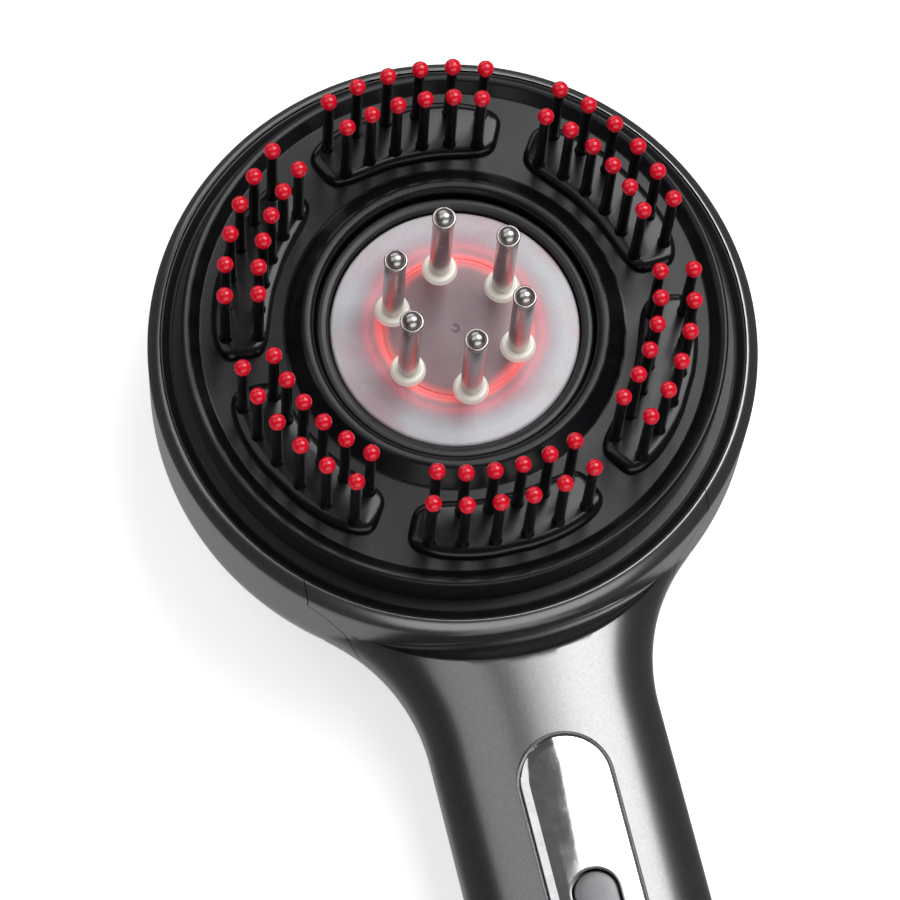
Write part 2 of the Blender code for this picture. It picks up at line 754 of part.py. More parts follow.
def light_pieces():
    guide = ring("light_guide", (11.4, 13.6), (25.9, 31.6), 24)
    shade(guide)
    as_part(guide, "red_clear")
    board = ring("led_board", (11.5, 17.9), (23.1, 24.3), 24)
    for index in range(PAD_COUNT):
        lamp = box(f"led_{index}", (11.7, 13.3), (-0.8, 0.8), (24.0, 25.5))
        angle = PAD_STEP * index
        lamp.matrix_world = Matrix.Rotation(angle, 4, "Z") @ Matrix.Translation(lamp.location)
        combine(board, lamp, "UNION")
    as_part(settle(board), "circuit_green")


# ---------------------------------------------------------------- controls and power

def inlay_outline(margin):
    """Outline of the inlay, a strip with round ends along the handle, grown by margin."""
    length = INLAY_Y[1] - INLAY_Y[0] - 2 * INLAY_HALF_WIDTH
    strip = slot(length, 2 * (INLAY_HALF_WIDTH + margin), end_steps=8)
    middle = (INLAY_Y[0] + INLAY_Y[1]) / 2
    return [(x, y + middle) for x, y in turn_points(strip, math.pi / 2)]


def button_outline(half_width):
    """Outline of the button, a short strip with round ends, or of a strip around it."""
    strip = turn_points(slot(BUTTON_STRAIGHT, 2 * half_width), math.pi / 2)
    return [(x, y + BUTTON_Y) for x, y in strip]


def inlay():
    hole = button_outline(BUTTON_HALF_WIDTH + 1.3)
    obj = plate("chrome_inlay", [inlay_outline(0.0), hole], INLAY_Z)
    shade(obj)
    as_part(obj, "chrome")


def button_pieces():
    edges = [button_outline(BUTTON_HALF_WIDTH + 1.0), button_outline(BUTTON_HALF_WIDTH + 0.35)]
    trim = plate("button_ring", edges, (INLAY_Z[0], 25.5))
    bevel(trim, 0.15, 1)
    trim = settle(trim)
    shade(trim)
    as_part(trim, "chrome")
    button = plate("power_button", [button_outline(BUTTON_HALF_WIDTH)], (21.6, 25.6))
    bevel(button, 0.35, 2)
    flange = plate("button_flange", [button_outline(BUTTON_HALF_WIDTH + 0.9)], (21.2, 22.0))
    combine(button, flange, "UNION")
    button = settle(button)
    shade(button)
    as_part(button, "grey_plastic")
    sides = (BUTTON_Y - 2.6, BUTTON_Y + 2.6)
    switch = box("tact_switch", (-2.6, 2.6), sides, (18.7, 19.8))
    plunger = cylinder("switch_plunger", 1.2, (19.4, 20.3), 10, (0.0, BUTTON_Y))
    combine(switch, plunger, "UNION")
    as_part(settle(switch), "black_plastic")


def electronics():
    board = box("main_board", (-8.5, 8.5), BOARD_Y, (17.2, 18.4))
    for x, y, width, height in ((0, -70, 7, 1.5), (-5, -77, 3, 1.0), (5, -77, 3, 1.2)):
        chip = box("chip", (x - width / 2, x + width / 2), (y - 2, y + 2), (18.2, 18.4 + height))
        combine(board, chip, "UNION")
    as_part(settle(board), "circuit_green")
    bm = bmesh.new()
    length = (BATTERY_Y[1] - BATTERY_Y[0]) * MM
    bmesh.ops.create_cone(bm, cap_ends=True, segments=24, radius1=BATTERY_R * MM,
                          radius2=BATTERY_R * MM, depth=length,
                          matrix=Matrix.Rotation(math.pi / 2, 4, "X"))
    cell = solid_from("battery", bm, (0.0, sum(BATTERY_Y) / 2, BATTERY_Z))
    bevel(cell, 0.8, 1)
    cell = settle(cell)
    shade(cell)
    as_part(cell, "cell_wrap")


def port_pieces():
    socket = box("charging_port", (-4.6, 4.6), (-164.3, -156.5), (PORT_Z - 1.7, PORT_Z + 1.7))
    hollow = box("port_hollow", (-4.2, 4.2), (-166, -158.5), (PORT_Z - 1.3, PORT_Z + 1.3))
    combine(socket, hollow, "DIFFERENCE")
    as_part(settle(socket), "polished_steel")
    plug = plate("port_plug", [slot(6.2, 6.0)], (0.0, 1.3))
    plug.rotation_euler.x = math.pi / 2
    plug.location = Vector((0.0, (PLUG_Y[0] + PLUG_Y[1]) / 2, PORT_Z)) * MM
    tongue = box("plug_tongue", (-3.8, 3.8), (PLUG_Y[1] - 0.5, -161.5), (PORT_Z - 0.9, PORT_Z + 0.9))
    combine(plug, tongue, "UNION")
    as_part(settle(plug), "black_silicone")


def screws():
    for name, (x, y) in SCREW_PLACES.items():
        low = SCREW_LIFT[name] + SCREW_SINK
        high = low + SCREW_LENGTH
        profile = [(0, high), (1.2, high - 0.6), (1.2, low + 1.7), (2.5, low + 1.7),
                   (2.5, low + 0.3), (2.2, low), (0, low)]
        screw = turned(name, profile, 10, (x, y))
        recess = box(name + "_recess", (x - 1.4, x + 1.4), (y - 0.35, y + 0.35), (low - 1, low + 0.7))
        combine(screw, recess, "DIFFERENCE")
        screw = settle(screw)
        shade(screw)
        as_part(screw, "polished_steel")


def build():
    shell = housing_shell()
    rear_housing(shell)
    front_housing(shell)
    face_bezel()
    face_membrane()
    cartridge_socket()
    pads()
    scroll_ring()
    drive_pinion()
    gear_motor()
    chassis()
    guide_plate()
    applicator_disc()
    pins()
    cartridge_bodies()
    light_pieces()
    inlay()
    button_pieces()
    electronics()
    port_pieces()
    screws()


clear_scene()
PARTS = make_collection("scalp_massager_brush")
CUTTERS = make_collection("cutters")
SURFACES = {name: make_material(name) for name in MATERIALS}
build()
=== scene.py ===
"""Looks of the scalp massager brush: finely rounded shells, silicone face, steel pins and lights.

Lengths are in millimetres until MM turns them into Blender's metres. The origin is the centre of
the head's flat back, +Z points out of the bristle face and the handle runs along -Y.
"""
import math

import bmesh
import bpy
from mathutils import Matrix, Vector


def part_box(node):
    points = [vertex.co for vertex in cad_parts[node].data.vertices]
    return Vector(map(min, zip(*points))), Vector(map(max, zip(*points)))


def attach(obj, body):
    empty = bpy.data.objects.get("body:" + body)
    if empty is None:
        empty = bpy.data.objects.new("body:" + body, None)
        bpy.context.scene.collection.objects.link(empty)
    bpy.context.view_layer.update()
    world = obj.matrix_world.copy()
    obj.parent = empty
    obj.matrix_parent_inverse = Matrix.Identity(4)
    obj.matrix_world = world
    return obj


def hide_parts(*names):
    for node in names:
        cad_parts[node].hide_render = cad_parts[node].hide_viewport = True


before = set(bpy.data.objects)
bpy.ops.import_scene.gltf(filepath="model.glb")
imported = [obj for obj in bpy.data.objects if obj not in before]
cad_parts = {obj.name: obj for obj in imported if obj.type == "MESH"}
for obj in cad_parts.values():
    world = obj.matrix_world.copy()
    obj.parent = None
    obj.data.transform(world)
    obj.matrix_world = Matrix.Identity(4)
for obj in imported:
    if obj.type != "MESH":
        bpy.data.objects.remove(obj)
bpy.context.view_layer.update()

MM = 0.001
GAP = 0.3


def top_of(node):
    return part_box(node)[1].z / MM


def reach_of(node):
    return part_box(node)[1].x / MM


# Head drum and handle
HEAD_R = reach_of("rear_housing")
WALL = 2.2
RIM_Z = 29.5
BACK_ROUND = 14.0
FACE_Z = 34.0
HANDLE_HALF_WIDTH = 17.1
HANDLE_TOP_Z = 25.0
HANDLE_END_Y = -166.0
END_ROUND = 17.0
NECK_FILLET = 28.0
NECK_LIFT = 2.5
SECTION_POWER = 2.5
END_POWER = 2.4
NECK_START_Y = -58
BACK_SLOPE_START = 56
BACK_SLOPE_LENGTH = 74
FRONT_DROP = 2.0
FRONT_DROP_START = 105
FRONT_DROP_LENGTH = 60
PARTING_Z = 13.5
SEAM = 0.12
COVER_FLOOR_HALF_WIDTH = 23.3
COVER_SIDE = ((25.2, 19.4), (27.3, 23.0), (29.6, 25.0), (29.6, 60.0))
RIM_ROUND = (1.7, 2.0)
RIM_FLATNESS = 1.4
CREST_R = 31.1
CREST_Y = -16.3
VALLEY_HALF_ANGLE = 29
VALLEY_DEPTH = 1.1
VALLEY_MIN_DEPTH = 0.15
VALLEY_LIPS = (0.5, 0.36)
CLEAR_Z = 34.0
WIRE_PASSAGE = ((-9, 9), (-56, -36), (6, 18))

# Silicone face
MEMBRANE_Z = 34.0
MEMBRANE_FOOT_Z = 29.1
OUTER_RIB_Z = 35.6
INNER_RIB_Z = top_of("face_membrane")
INNER_EDGE_R = 20.4
OUTER_EDGE_R = reach_of("face_membrane")
BEZEL_R = reach_of("face_bezel")
BEZEL_SEAT_Z = 26.6

# Pads and bristles
PAD_COUNT = 6
PAD_STEP = math.radians(360 / PAD_COUNT)
FIRST_AZIMUTH = math.radians(-90)
PAD_MID_R = 30.75
PAD_HALF_DEPTH = 4.45
PAD_HALF_ANGLE = math.radians(26)
PAD_TOP_Z = 35.5
BRISTLE_ROWS_R = (28.3, 33.0)
BRISTLES_PER_ROW = 6
BRISTLE_PITCH = math.radians(8.15)
BRISTLE_TIP_R = 1.2
BRISTLE_END_Z = top_of("pad_1")
STEM_HALF_DEPTH = 1.35
STEM_HALF_ANGLE = math.radians(10)
STEM_BOTTOM_Z = 27.5
WINDOW_EXTRA_ANGLE = math.radians(2.5)
PAD_TRAVEL = 1.25

# Oil cartridge
DISC_R = reach_of("applicator_disc")
PIN_CIRCLE_R = 9.4
PIN_R = 1.55
PIN_BALL_R = 1.3
PIN_BALL_Z = top_of("pin_ball_1") - PIN_BALL_R
COLLAR_R = 2.45

# Controls, port and screws
INLAY_HALF_WIDTH = reach_of("chrome_inlay")
INLAY_Y = (-110.0, -60.0)
INLAY_Z = (24.2, 25.2)
BUTTON_Y = -85.4
BUTTON_HALF_WIDTH = 3.1
BUTTON_STRAIGHT = 4.0
BUTTON_HOLE_GAP = 0.36
BUTTON_RING_WIDTH = 0.75
PORT_Z = 9.5
PORT_HALF = (5.0, 2.1)
PLUG_POCKET_HALF = (6.3, 3.2)
PLUG_Y = (-166.2, -164.9)
SCREW_PLACES = {
    "screw_head_left": (-20.8, -12.0, 0.0),
    "screw_head_right": (20.8, -12.0, 0.0),
    "screw_neck": (0.0, -57.5, 2.5),
    "screw_tail": (0.0, -150.0, 0.2),
}
SCREW_LENGTH = 11.4
SCREW_SINK = 0.6
SCREW_HOLE_R = 1.6
SCREW_HEAD_HOLE_R = 2.8
SCREW_SEAT = 2.6


# ---------------------------------------------------------------- shapes

def link(obj):
    bpy.context.scene.collection.objects.link(obj)
    return obj


def mesh_object(name, bm):
    bmesh.ops.recalc_face_normals(bm, faces=bm.faces)
    mesh = bpy.data.meshes.new(name)
    bm.to_mesh(mesh)
    bm.free()
    return link(bpy.data.objects.new(name, mesh))


def smooth(obj, angle=32):
    obj.data.shade_smooth()
    obj.data.set_sharp_from_angle(angle=math.radians(angle))
    return obj


def soften(corners, closed=True, steps=5):
    """Round the corners of an outline; each corner is (a, b, radius)."""
    points = []
    count = len(corners)
    for index, (a, b, radius) in enumerate(corners):
        if radius == 0 or (not closed and index in (0, count - 1)):
            points.append((a, b))
            continue
        here = Vector((a, b))
        back = Vector(corners[index - 1][:2]) - here
        ahead = Vector(corners[(index + 1) % count][:2]) - here
        half = back.angle(ahead) / 2
        reach = min(radius / math.tan(half), 0.49 * back.length, 0.49 * ahead.length)
        middle = (back.normalized() + ahead.normalized()).normalized()
        centre = here + middle * reach / math.cos(half)
        start = here + back.normalized() * reach - centre
        end = here + ahead.normalized() * reach - centre
        for step in range(steps + 1):
            spoke = start.lerp(end, step / steps).normalized() * start.length
            points.append(tuple(centre + spoke))
    return points


def lathe(name, profile, steps=144, centre=(0.0, 0.0)):
    """Turn (radius, height) points about a vertical line; a profile off the axis is closed."""
    bm = bmesh.new()
    rows = []
    for radius, height in profile:
        count = steps if radius > 0 else 1
        row = []
        for step in range(count):
            angle = math.tau * step / steps
            x = centre[0] + radius * math.cos(angle)
            y = centre[1] + radius * math.sin(angle)
            row.append(bm.verts.new(Vector((x, y, height)) * MM))
        rows.append(row)
    if profile[0][0] > 0:
        rows.append(rows[0])
    for first, second in zip(rows, rows[1:]):
        for step in range(steps):
            after = (step + 1) % steps
            corners = []
            for row, place in ((first, step), (first, after), (second, after), (second, step)):
                vert = row[place % len(row)]
                if vert not in corners:
                    corners.append(vert)
            bm.faces.new(corners)
    return mesh_object(name, bm)


def skin(name, rows, closed=False):
    """Skin a row of loops with the same number of points; cap the ends unless it is closed."""
    bm = bmesh.new()
    loops = [[bm.verts.new(Vector(point) * MM) for point in row] for row in rows]
    count = len(loops[0])
    if closed:
        loops.append(loops[0])
    for first, second in zip(loops, loops[1:]):
        for i in range(count):
            j = (i + 1) % count
            bm.faces.new((first[i], first[j], second[j], second[i]))
    if not closed:
        bm.faces.new(loops[0])
        bm.faces.new(loops[-1])
    return mesh_object(name, bm)


def inset(outline, depth):
    """Move a closed outline inwards, each point along its own normal."""
    moved = []
    count = len(outline)
    for index, (x, y) in enumerate(outline):
        before = outline[index - 1]
        after = outline[(index + 1) % count]
        along = Vector((after[0] - before[0], after[1] - before[1])).normalized()
        moved.append((x - along.y * depth, y + along.x * depth))
    return moved


def stack(name, outline, levels):
    """A plate whose edge follows levels of (inset, height) from its underside to its top."""
    rows = [[(x, y, height) for x, y in inset(outline, depth)] for depth, height in levels]
    return smooth(skin(name, rows), 25)


def frame_of(name, outer, levels):
    """A ring-shaped plate: levels of (inset, height) run round its section."""
    rows = [[(x, y, height) for x, y in inset(outer, depth)] for depth, height in levels]
    return smooth(skin(name, rows, closed=True), 25)


def prism(name, outline, z):
    return skin(name, [[(x, y, height) for x, y in outline] for height in z])


def box(name, x, y, z):
    outline = [(x[0], y[0]), (x[1], y[0]), (x[1], y[1]), (x[0], y[1])]
    return prism(name, outline, z)


def pill(straight, half_width, middle_y, end_steps=24):
    """Outline of a strip along Y with round ends; straight is between the ends' centres."""
    points = []
    for side, start in ((1, 0.0), (-1, math.pi)):
        for step in range(end_steps + 1):
            angle = start + math.pi * step / end_steps
            x = half_width * math.cos(angle)
            y = middle_y + side * straight / 2 + half_width * math.sin(angle)
            points.append((x, y))
    return points


def arc(centre, radius, start, end, steps):
    points = []
    for step in range(steps + 1):
        angle = math.radians(start + (end - start) * step / steps)
        points.append((centre[0] + radius * math.cos(angle), centre[1] + radius * math.sin(angle)))
    return points


def cut(target, tool, operation="DIFFERENCE"):
    """Apply a boolean and remove the tool."""
    modifier = target.modifiers.new("cut", "BOOLEAN")
    modifier.operation = operation
    modifier.object = tool
    modifier.solver = "EXACT"
    bpy.context.view_layer.update()
    graph = bpy.context.evaluated_depsgraph_get()
    mesh = bpy.data.meshes.new_from_object(target.evaluated_get(graph))
    target.modifiers.clear()
    target.data = mesh
    bpy.data.objects.remove(tool, do_unlink=True)


def weld(obj):
    bm = bmesh.new()
    bm.from_mesh(obj.data)
    bmesh.ops.remove_doubles(bm, verts=bm.verts, dist=0.000004)
    bm.to_mesh(obj.data)
    bm.free()


def join(name, objects):
    """Join meshes into one object."""
    bm = bmesh.new()
    for obj in objects:
        first = len(bm.verts)
        bm.from_mesh(obj.data)
        bm.verts.ensure_lookup_table()
        bmesh.ops.transform(bm, matrix=obj.matrix_world, verts=bm.verts[first:])
        bpy.data.objects.remove(obj, do_unlink=True)
    return smooth(mesh_object(name, bm))


def finish_piece(obj, body, look, slot, *replaced):
    """Give a piece its material, its body and the CAD nodes that it stands for."""
    obj.data.materials.clear()
    obj.data.materials.append(look)
    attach(obj, body)
    if replaced:
        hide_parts(*replaced)
    return obj


# ---------------------------------------------------------------- materials

def tone(red, green, blue):
    """A colour from 0-255 display values."""
    linear = []
    for value in (red, green, blue):
        share = value / 255
        linear.append(share / 12.92 if share <= 0.04045 else ((share + 0.055) / 1.055) ** 2.4)
    return (*linear, 1.0)


def add(tree, kind, **settings):
    """Add a node. A setting is one of its properties or, with _ for a space, one of its inputs."""
    made = tree.nodes.new(kind)
    for key, value in settings.items():
        if hasattr(made, key):
            setattr(made, key, value)
            continue
        socket = made.inputs[key.replace("_", " ")]
        if isinstance(value, bpy.types.NodeSocket):
            tree.links.new(value, socket)
        else:
            socket.default_value = value
    return made


def ramp(tree, factor, stops):
    """A colour ramp through (place, colour) stops."""
    made = add(tree, "ShaderNodeValToRGB", Fac=factor)
    elements = made.color_ramp.elements
    while len(elements) > 1:
        elements.remove(elements[-1])
    elements[0].position, elements[0].color = stops[0]
    for place, colour in stops[1:]:
        elements.new(place).color = colour
    return made.outputs["Color"]


def span(tree, factor, low, high):
    made = add(tree, "ShaderNodeMapRange", Value=factor, To_Min=low, To_Max=high)
    return made.outputs["Result"]


def noise(tree, place, scale, detail=3.0, rough=0.5):
    made = add(tree, "ShaderNodeTexNoise", Vector=place, Scale=scale, Detail=detail,
               Roughness=rough)
    return made.outputs["Fac"]


def new_look(name, **settings):
    """A material, with the sockets of its shader that are the same all over."""
    look = bpy.data.materials.new(name)
    look.use_nodes = True
    shader = look.node_tree.nodes["Principled BSDF"]
    for key, value in settings.items():
        shader.inputs[key.replace("_", " ")].default_value = value
    place = add(look.node_tree, "ShaderNodeTexCoord").outputs["Object"]
    return look, look.node_tree, shader, place


def moulded(name, dark, light, gloss, grain, depth, **settings):
    """Moulded or lacquered surface: faint clouds of colour, uneven gloss and fine grain."""
    look, tree, shader, place = new_look(name, **settings)
    cloud = noise(tree, place, 90.0)
    tree.links.new(ramp(tree, cloud, [(0.3, dark), (0.7, light)]), shader.inputs["Base Color"])
    smudge = noise(tree, place, 260.0, 5.0, 0.65)
    tree.links.new(span(tree, smudge, gloss[0], gloss[1]), shader.inputs["Roughness"])
    fine = noise(tree, place, grain, 2.0)
    bump = add(tree, "ShaderNodeBump", Strength=1.0, Distance=depth * MM, Height=fine)
    tree.links.new(bump.outputs["Normal"], shader.inputs["Normal"])
    return look


def lacquer():
    """Gunmetal lacquer: metal flake under a clear coat."""
    look, tree, shader, place = new_look("gunmetal_lacquer", Metallic=0.9, Coat_Weight=0.25,
                                         Coat_Roughness=0.12)
    flake = add(tree, "ShaderNodeTexVoronoi", Vector=place, Scale=5200.0)
    colour = ramp(tree, flake.outputs["Color"], [(0.1, tone(122, 122, 123)),
                                                 (0.9, tone(132, 132, 133))])
    tree.links.new(colour, shader.inputs["Base Color"])
    smudge = noise(tree, place, 60.0, 3.0)
    tree.links.new(span(tree, smudge, 0.27, 0.29), shader.inputs["Roughness"])
    ripple = noise(tree, place, 5200.0, 2.0)
    bump = add(tree, "ShaderNodeBump", Strength=0.5, Distance=0.001 * MM, Height=ripple)
    tree.links.new(bump.outputs["Normal"], shader.inputs["Normal"])
    return look


def metal(name, colour, gloss, scratch, depth, stretch=(1.0, 1.0, 1.0)):
    """Polished metal with fine scratches; stretch draws them out along an axis."""
    look, tree, shader, place = new_look(name, Metallic=1.0)
    dull = tuple(0.84 * value for value in colour[:3]) + (1.0,)
    cloud = ramp(tree, noise(tree, place, 420.0, 6.0, 0.7), [(0.36, dull), (0.6, colour)])
    tree.links.new(cloud, shader.inputs["Base Color"])
    drawn = add(tree, "ShaderNodeMapping", Vector=place, Scale=stretch).outputs["Vector"]
    smudge = noise(tree, place, 420.0, 5.0, 0.65)
    tree.links.new(span(tree, smudge, gloss[0], gloss[1]), shader.inputs["Roughness"])
    fine = noise(tree, drawn, scratch, 3.0, 0.6)
    bump = add(tree, "ShaderNodeBump", Strength=0.5, Distance=depth * MM, Height=fine)
    tree.links.new(bump.outputs["Normal"], shader.inputs["Normal"])
    return look


def from_axis(tree, place, far):
    """Distance from the head's axis, as a share of far millimetres."""
    flat = add(tree, "ShaderNodeVectorMath", operation="MULTIPLY")
    tree.links.new(place, flat.inputs[0])
    flat.inputs[1].default_value = (1.0, 1.0, 0.0)
    length = add(tree, "ShaderNodeVectorMath", operation="LENGTH")
    tree.links.new(flat.outputs["Vector"], length.inputs[0])
    share = add(tree, "ShaderNodeMapRange", Value=length.outputs["Value"], From_Max=far * MM)
    return share.outputs["Result"]


def frosted():
    """Frosted disc with the red light ring glowing through it: that glow is painted, as emission
    and as pink and red rings and a pink haze in the base colour.
    """
    look, tree, shader, place = new_look("frosted_disc", Coat_Weight=0.35, Coat_Roughness=0.18,
                                         Emission_Strength=0.5)
    radius = from_axis(tree, place, 20.0)
    haze = span(tree, noise(tree, place, 160.0, 3.0), -0.03, 0.03)
    wavy = add(tree, "ShaderNodeMath", operation="ADD")
    tree.links.new(radius, wavy.inputs[0])
    tree.links.new(haze, wavy.inputs[1])
    # Base colour rings from the centre out: the disc's own mauve and grey-white tints, with painted
    # glow of the red light ring in the pink and red rings from about 0.5 to 0.68 of the radius.
    tint_and_glow_bands = [(0.0, (136, 120, 126)), (0.3, (134, 112, 118)), (0.45, (150, 120, 124)),
             (0.51, (206, 130, 132)), (0.54, (226, 130, 130)), (0.58, (190, 148, 154)),
             (0.63, (222, 156, 166)), (0.67, (204, 170, 180)), (0.72, (196, 192, 199)),
             (0.8, (214, 216, 220)), (0.92, (216, 216, 221))]
    colour = ramp(tree, wavy.outputs["Value"], [(at, tone(*value)) for at, value in tint_and_glow_bands])
    # Painted glow: blotches of pink haze from the red light ring, multiplied into the base colour.
    pink_glow_haze = ramp(tree, noise(tree, place, 110.0, 3.0), [(0.42, tone(255, 255, 255)),
                                                        (0.7, tone(246, 208, 214))])
    speck = noise(tree, place, 4200.0, 2.0)
    grey = ramp(tree, speck, [(0.35, tone(240, 240, 241)), (0.65, tone(255, 255, 255))])
    for number, tint in enumerate((pink_glow_haze, grey)):
        mixed = add(tree, "ShaderNodeMixRGB", blend_type="MULTIPLY", Fac=0.9 - 0.2 * number,
                    Color1=colour, Color2=tint)
        colour = mixed.outputs["Color"]
    tree.links.new(colour, shader.inputs["Base Color"])
    black = (0.0, 0.0, 0.0, 1.0)
    # Painted glow: emission of the red light ring, dim red over the centre.
    glow = [(0.0, tone(30, 6, 8)), (0.46, tone(44, 8, 10)), (0.53, tone(255, 64, 60)),
            (0.56, tone(235, 50, 50)), (0.59, tone(84, 16, 20)), (0.63, tone(130, 28, 38)),
            (0.68, tone(40, 8, 12)), (0.78, black)]
    tree.links.new(ramp(tree, wavy.outputs["Value"], glow), shader.inputs["Emission Color"])
    smudge = noise(tree, place, 500.0, 4.0)
    tree.links.new(span(tree, smudge, 0.3, 0.42), shader.inputs["Roughness"])
    bump = add(tree, "ShaderNodeBump", Strength=0.5, Distance=0.02 * MM, Height=speck)
    tree.links.new(bump.outputs["Normal"], shader.inputs["Normal"])
    return look


def make_looks():
    return {
        "gunmetal": lacquer(),
        "silicone": moulded("black_silicone", tone(16, 16, 19), tone(22, 22, 26), (0.24, 0.32),
                            4200.0, 0.0015, Specular_IOR_Level=0.34),
        "pad": moulded("pad_silicone", tone(12, 12, 15), tone(18, 18, 21), (0.16, 0.26), 4200.0,
                       0.001, Specular_IOR_Level=0.42),
        "tip": moulded("red_silicone", tone(222, 12, 40), tone(232, 20, 50), (0.16, 0.24),
                       3000.0, 0.002, Coat_Weight=0.3, Coat_Roughness=0.1),
        "black": moulded("black_plastic", tone(24, 24, 26), tone(30, 30, 32), (0.3, 0.4),
                         3400.0, 0.008, Specular_IOR_Level=0.4),
        "socket": moulded("socket_plastic", tone(34, 34, 37), tone(42, 42, 45), (0.32, 0.42),
                          3000.0, 0.015),
        "grey": moulded("grey_plastic", tone(118, 118, 120), tone(128, 128, 131), (0.34, 0.44),
                        4200.0, 0.02, Metallic=0.5),
        "guide": moulded("guide_plastic", tone(92, 92, 95), tone(104, 104, 107), (0.42, 0.52),
                         2200.0, 0.03),
        "frosted": frosted(),
        # The collars' cream emission is a painted glow that brightens them; they are no lamp.
        "collar": moulded("collar_plastic_painted_glow", tone(232, 231, 220), tone(242, 241, 232), (0.16, 0.24),
                          1200.0, 0.006, Coat_Weight=0.5, Coat_Roughness=0.08,
                          Emission_Color=tone(255, 246, 236), Emission_Strength=0.22),
        "red_light": moulded("red_light_guide", tone(214, 20, 30), tone(232, 34, 40), (0.1, 0.2),
                             900.0, 0.01, Transmission_Weight=0.4,
                             Emission_Color=tone(255, 50, 50), Emission_Strength=0.6),
        "clear": moulded("clear_plastic", tone(222, 226, 228), tone(236, 238, 240), (0.05, 0.12),
                         700.0, 0.01, Transmission_Weight=0.7, IOR=1.49),
        "steel": metal("polished_steel", tone(200, 192, 190), (0.22, 0.3), 900.0, 0.006,
                       (1.0, 1.0, 0.06)),
        "ball": metal("ball_steel", tone(214, 212, 211), (0.3, 0.36), 900.0, 0.004),
        "chrome": metal("chrome", tone(236, 237, 239), (0.02, 0.08), 900.0, 0.0015),
        "acetal": moulded("acetal", tone(224, 222, 214), tone(234, 232, 226), (0.34, 0.44),
                          1800.0, 0.02),
        "circuit": moulded("circuit_green", tone(12, 74, 40), tone(20, 92, 50), (0.28, 0.4),
                           2400.0, 0.02),
        "wrap": moulded("cell_wrap", tone(24, 66, 150), tone(32, 78, 168), (0.2, 0.3), 800.0,
                        0.02),
    }


# ---------------------------------------------------------------- housings

def neck_half_width(y):
    """Half width of the handle, flared by a fillet where it meets the head."""
    centre_x = HANDLE_HALF_WIDTH + NECK_FILLET
    centre_y = -math.sqrt((HEAD_R + NECK_FILLET) ** 2 - centre_x ** 2)
    tangent_y = centre_y * HEAD_R / (HEAD_R + NECK_FILLET)
    rise = max(0.0, min(y, tangent_y) - centre_y)
    return centre_x - math.sqrt(NECK_FILLET ** 2 - rise ** 2)


def smooth_step(value):
    value = min(1.0, max(0.0, value))
    return value * value * (3 - 2 * value)


def handle_levels(y):
    """Heights of the handle's underside and front at y, before its end is rounded."""
    bottom = NECK_LIFT * (1 - smooth_step((-y - BACK_SLOPE_START) / BACK_SLOPE_LENGTH))
    top = HANDLE_TOP_Z - FRONT_DROP * smooth_step((-y - FRONT_DROP_START) / FRONT_DROP_LENGTH)
    return bottom, top


def handle_section(y, wall, steps):
    """Superellipse section of the handle at y, shrunk by the wall thickness."""
    bottom, top = handle_levels(y)
    past_round = (HANDLE_END_Y + END_ROUND) - y
    end = END_ROUND - wall
    fade = 1.0
    if past_round > 0:
        fade = max(0.0, 1 - (past_round / end) ** END_POWER) ** (1 / END_POWER)
    half_width = (neck_half_width(y) - wall) * fade
    half_height = ((top - bottom) / 2 - wall) * fade
    points = []
    for step in range(steps):
        angle = math.tau * step / steps
        c, s = math.cos(angle), math.sin(angle)
        x = half_width * math.copysign(abs(c) ** (2 / SECTION_POWER), c)
        z = half_height * math.copysign(abs(s) ** (2 / SECTION_POWER), s)
        points.append((x, y, (top + bottom) / 2 + z))
    return points


def spread(start, end, count):
    return [start + (end - start) * step / count for step in range(count + 1)]


def handle_solid(name, wall, first, steps):
    """The handle from y=first down to its rounded end."""
    round_start = HANDLE_END_Y + END_ROUND
    stations = spread(first, NECK_START_Y, 24) + spread(NECK_START_Y, round_start, 30)[1:]
    end = END_ROUND - wall
    stations += [round_start - end * math.sin(math.radians(a)) for a in range(6, 90, 6)]
    stations.append(round_start - end * 0.9995)
    return skin(name, [handle_section(y, wall, steps) for y in stations])


def drum_profile(radius, floor, rounding):
    """Side, rounded back edge and flat back of the head, down to the axis."""
    corner = (radius - rounding, floor + rounding)
    return arc(corner, rounding, 0, -90, 24) + [(0, floor)]


def front_height(x, y):
    """Height of the handle's front surface at (x, y)."""
    bottom, top = handle_levels(y)
    share = min(0.98, abs(x) / neck_half_width(y))
    crown = (1 - share ** SECTION_POWER) ** (1 / SECTION_POWER)
    return (top + bottom) / 2 + (top - bottom) / 2 * crown


def valley():
    """Crescent groove between the head's wall and the crest that starts the handle's front."""
    rows = []
    inner = HEAD_R + 0.05
    for degrees in range(-VALLEY_HALF_ANGLE, VALLEY_HALF_ANGLE + 1):
        angle = math.radians(degrees - 90)
        c, s = math.cos(angle), math.sin(angle)
        crest = CREST_Y * s + math.sqrt(CREST_R ** 2 - (CREST_Y * c) ** 2)
        width = max(0.05, crest - inner)
        edge = front_height(crest * c, crest * s)
        row = [(inner + width + VALLEY_LIPS[0], CLEAR_Z),
               (inner + width + VALLEY_LIPS[1], edge + 0.02)]
        for step in range(13):
            turn = math.radians(90 * step / 12)
            depth = VALLEY_MIN_DEPTH + VALLEY_DEPTH * width * math.sin(turn)
            row.append((inner + width * math.cos(turn), edge - depth))
        row.append((inner, CLEAR_Z))
        rows.append([(radius * c, radius * s, height) for radius, height in row])
    return skin("valley", rows)


